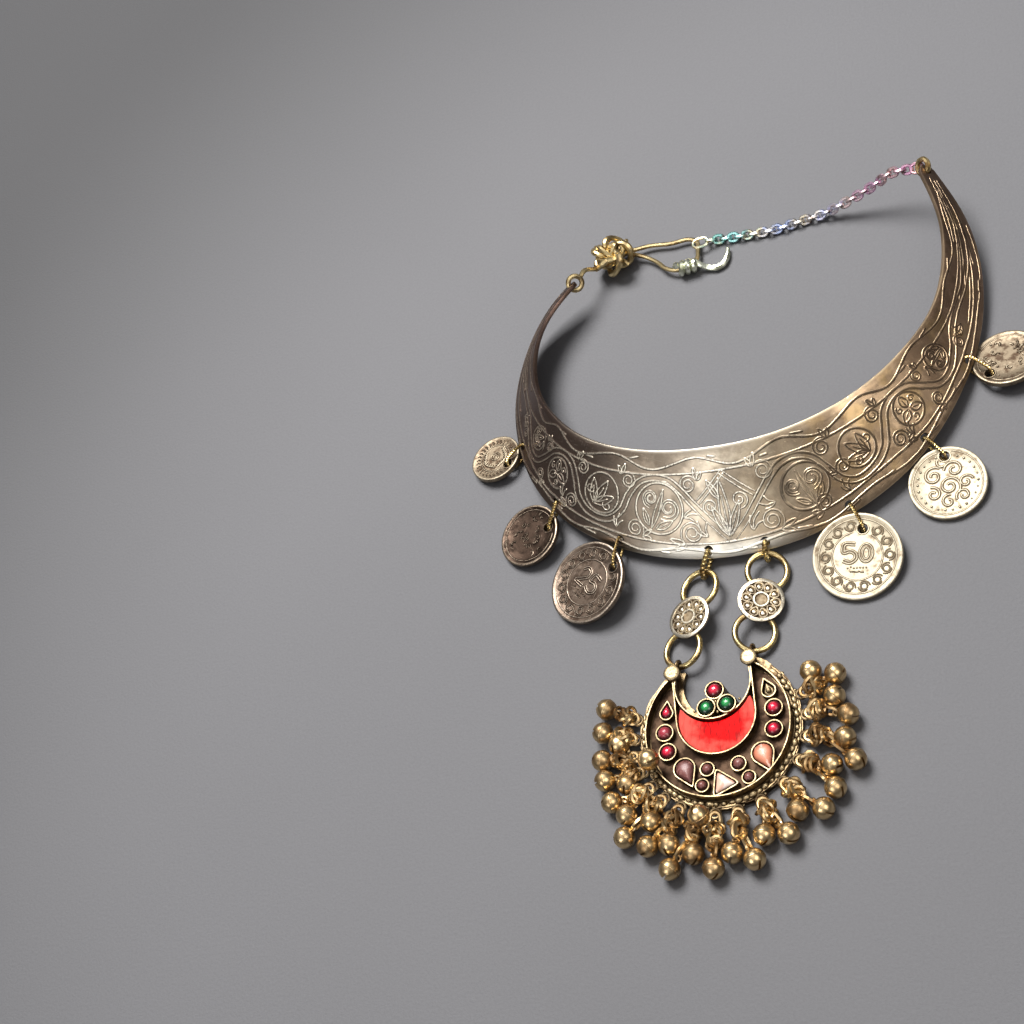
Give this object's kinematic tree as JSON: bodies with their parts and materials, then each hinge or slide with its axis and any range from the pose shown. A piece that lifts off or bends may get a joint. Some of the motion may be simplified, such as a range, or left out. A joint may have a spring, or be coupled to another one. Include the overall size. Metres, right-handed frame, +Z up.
{
  "type": "torc necklace",
  "caption": "Crescent collar of engraved sheet with hanging coins, a wire-and-chain back closure and a round stone-set pendant fringed with bells, lying flat.",
  "frame": {"origin": "the middle of the necklace's footprint, on the surface it lies on", "axes": "+Y runs from the pendant to the back closure, +X is to the right seen from the front, +Z is up"},
  "size_m": [0.1526, 0.1857, 0.0195],
  "materials": {
    "collar_metal": "silver alloy sheet, chased lines, worn bright in front and dark on the left arm",
    "coin_bright": "struck white metal, handled smooth",
    "coin_dark": "struck metal, darkened, bright on the rim",
    "ring_brass": "pale gilt wire, worn",
    "pendant_metal": "aged gilt silver with dark hollows",
    "bell_metal": "aged gilt, polished on top",
    "clasp_metal": "pale gilt wire",
    "hook_metal": "pale silver wire",
    "chain_metal": "fine woven wire chain",
    "red_glass": "foil-backed red glass",
    "red_stone": "polished red glass cabochon",
    "dark_red_stone": "polished dusky red cabochon",
    "green_stone": "polished green glass cabochon",
    "mauve_stone": "dusky mauve cabochon",
    "orange_stone": "polished orange drop",
    "pale_stone": "pinkish white stone"
  },
  "bodies": {
    "root": {"collar_plate": "collar_metal", "coin_right_1": "coin_bright", "coin_right_2": "coin_bright", "coin_right_3": "coin_bright", "coin_left_1": "coin_dark", "coin_left_2": "coin_dark", "coin_left_3": "coin_bright", "coin_ring_right_1": "ring_brass", "coin_ring_right_2": "ring_brass", "coin_ring_right_3": "ring_brass", "coin_ring_left_1": "ring_brass", "coin_ring_left_2": "ring_brass", "coin_ring_left_3": "ring_brass", "pendant_frame": "pendant_metal", "crescent_glass": "red_glass", "stone_bay_top": "red_stone", "stone_bay_left": "green_stone", "stone_bay_right": "green_stone", "stone_right_1": "pendant_metal", "stone_right_2": "red_stone", "stone_right_3": "red_stone", "stone_right_4": "orange_stone", "stone_foot_1": "mauve_stone", "stone_foot_2": "mauve_stone", "stone_foot_3": "pale_stone", "stone_foot_4": "mauve_stone", "stone_foot_5": "mauve_stone", "stone_left_4": "mauve_stone", "stone_left_3": "red_stone", "stone_left_2": "dark_red_stone", "stone_left_1": "red_stone", "bell_cluster_1": "bell_metal", "bell_cluster_2": "bell_metal", "bell_cluster_3": "bell_metal", "bell_cluster_4": "bell_metal", "bell_cluster_5": "bell_metal", "bell_cluster_6": "bell_metal", "bell_cluster_7": "bell_metal", "bell_cluster_8": "bell_metal", "bell_cluster_9": "bell_metal", "bell_cluster_10": "bell_metal", "bell_cluster_11": "bell_metal", "bell_cluster_12": "bell_metal", "bell_cluster_13": "bell_metal", "bell_cluster_14": "bell_metal", "bell_cluster_15": "bell_metal", "bell_cluster_16": "bell_metal", "hanger_link_left": "ring_brass", "hanger_ring_left": "ring_brass", "hanger_link_right": "ring_brass", "hanger_ring_right": "ring_brass", "clasp_wire": "clasp_metal", "clasp_hook": "hook_metal", "clasp_chain": "chain_metal", "tip_ring": "clasp_metal"}
  },
  "joints": []
}
